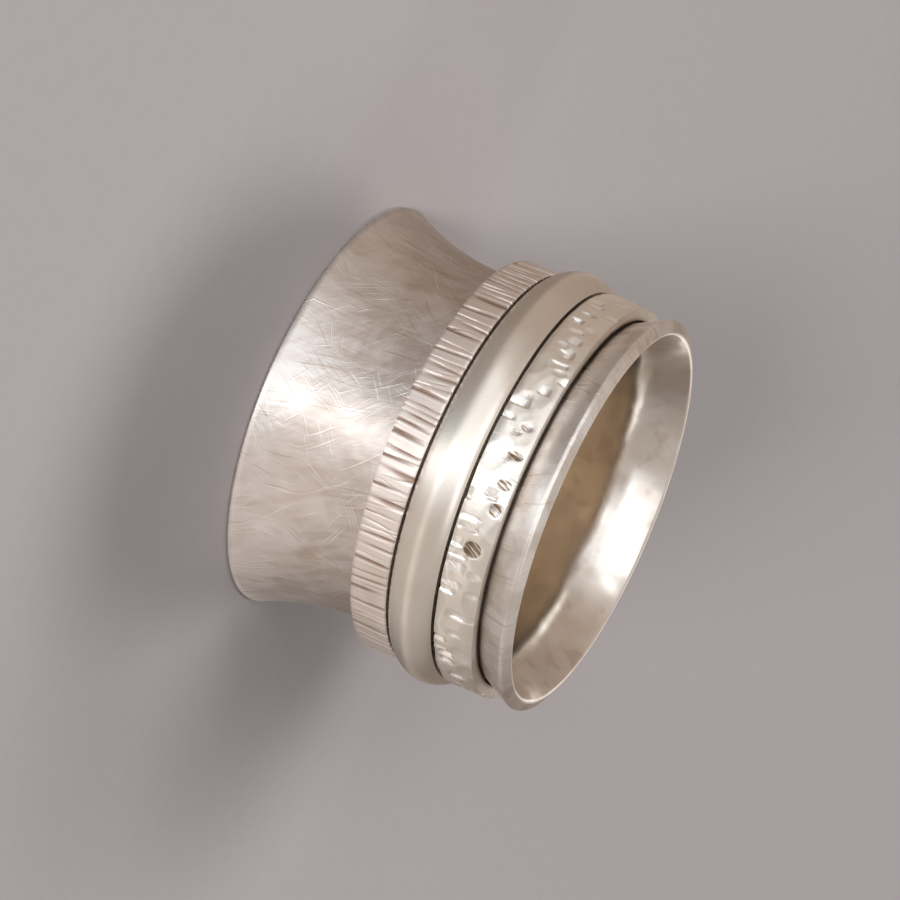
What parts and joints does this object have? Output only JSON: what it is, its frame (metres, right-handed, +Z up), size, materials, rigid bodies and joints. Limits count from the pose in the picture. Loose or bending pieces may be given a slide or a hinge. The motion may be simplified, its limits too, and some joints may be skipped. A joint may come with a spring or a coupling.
{
  "type": "spinner ring",
  "caption": "Wide silver finger ring: a flared base band with a straight seat that carries a bark-grooved, a domed and a hammered band, each loose and free to spin.",
  "frame": {"origin": "centre of the wide rim's flat edge, on the ring's axis", "axes": "+Z up along the ring's axis, from the wide rim that it lies on to the short flare's rim; X and Y across the bore"},
  "size_m": [0.023, 0.023, 0.0162],
  "materials": {
    "scratch_brushed_silver": "scratch-brushed outside, polished inside",
    "bark_silver": "chiselled, satin",
    "satin_silver": "satin",
    "hammered_silver": "hammered, bright"
  },
  "bodies": {
    "base": {"base_band": "scratch_brushed_silver"},
    "bark_spinner": {"bark_band": "bark_silver"},
    "domed_spinner": {"domed_band": "satin_silver"},
    "hammered_spinner": {"hammered_band": "hammered_silver"}
  },
  "joints": [
    {"name": "bark_spin", "type": "hinge", "parent": "base", "child": "bark_spinner", "pos_m": [0, 0, 0.00822], "axis": [0, 0, 1], "continuous": true},
    {"name": "domed_spin", "type": "hinge", "parent": "base", "child": "domed_spinner", "pos_m": [0, 0, 0.01064], "axis": [0, 0, 1], "continuous": true},
    {"name": "hammered_spin", "type": "hinge", "parent": "base", "child": "hammered_spinner", "pos_m": [0, 0, 0.01311], "axis": [0, 0, 1], "continuous": true}
  ]
}
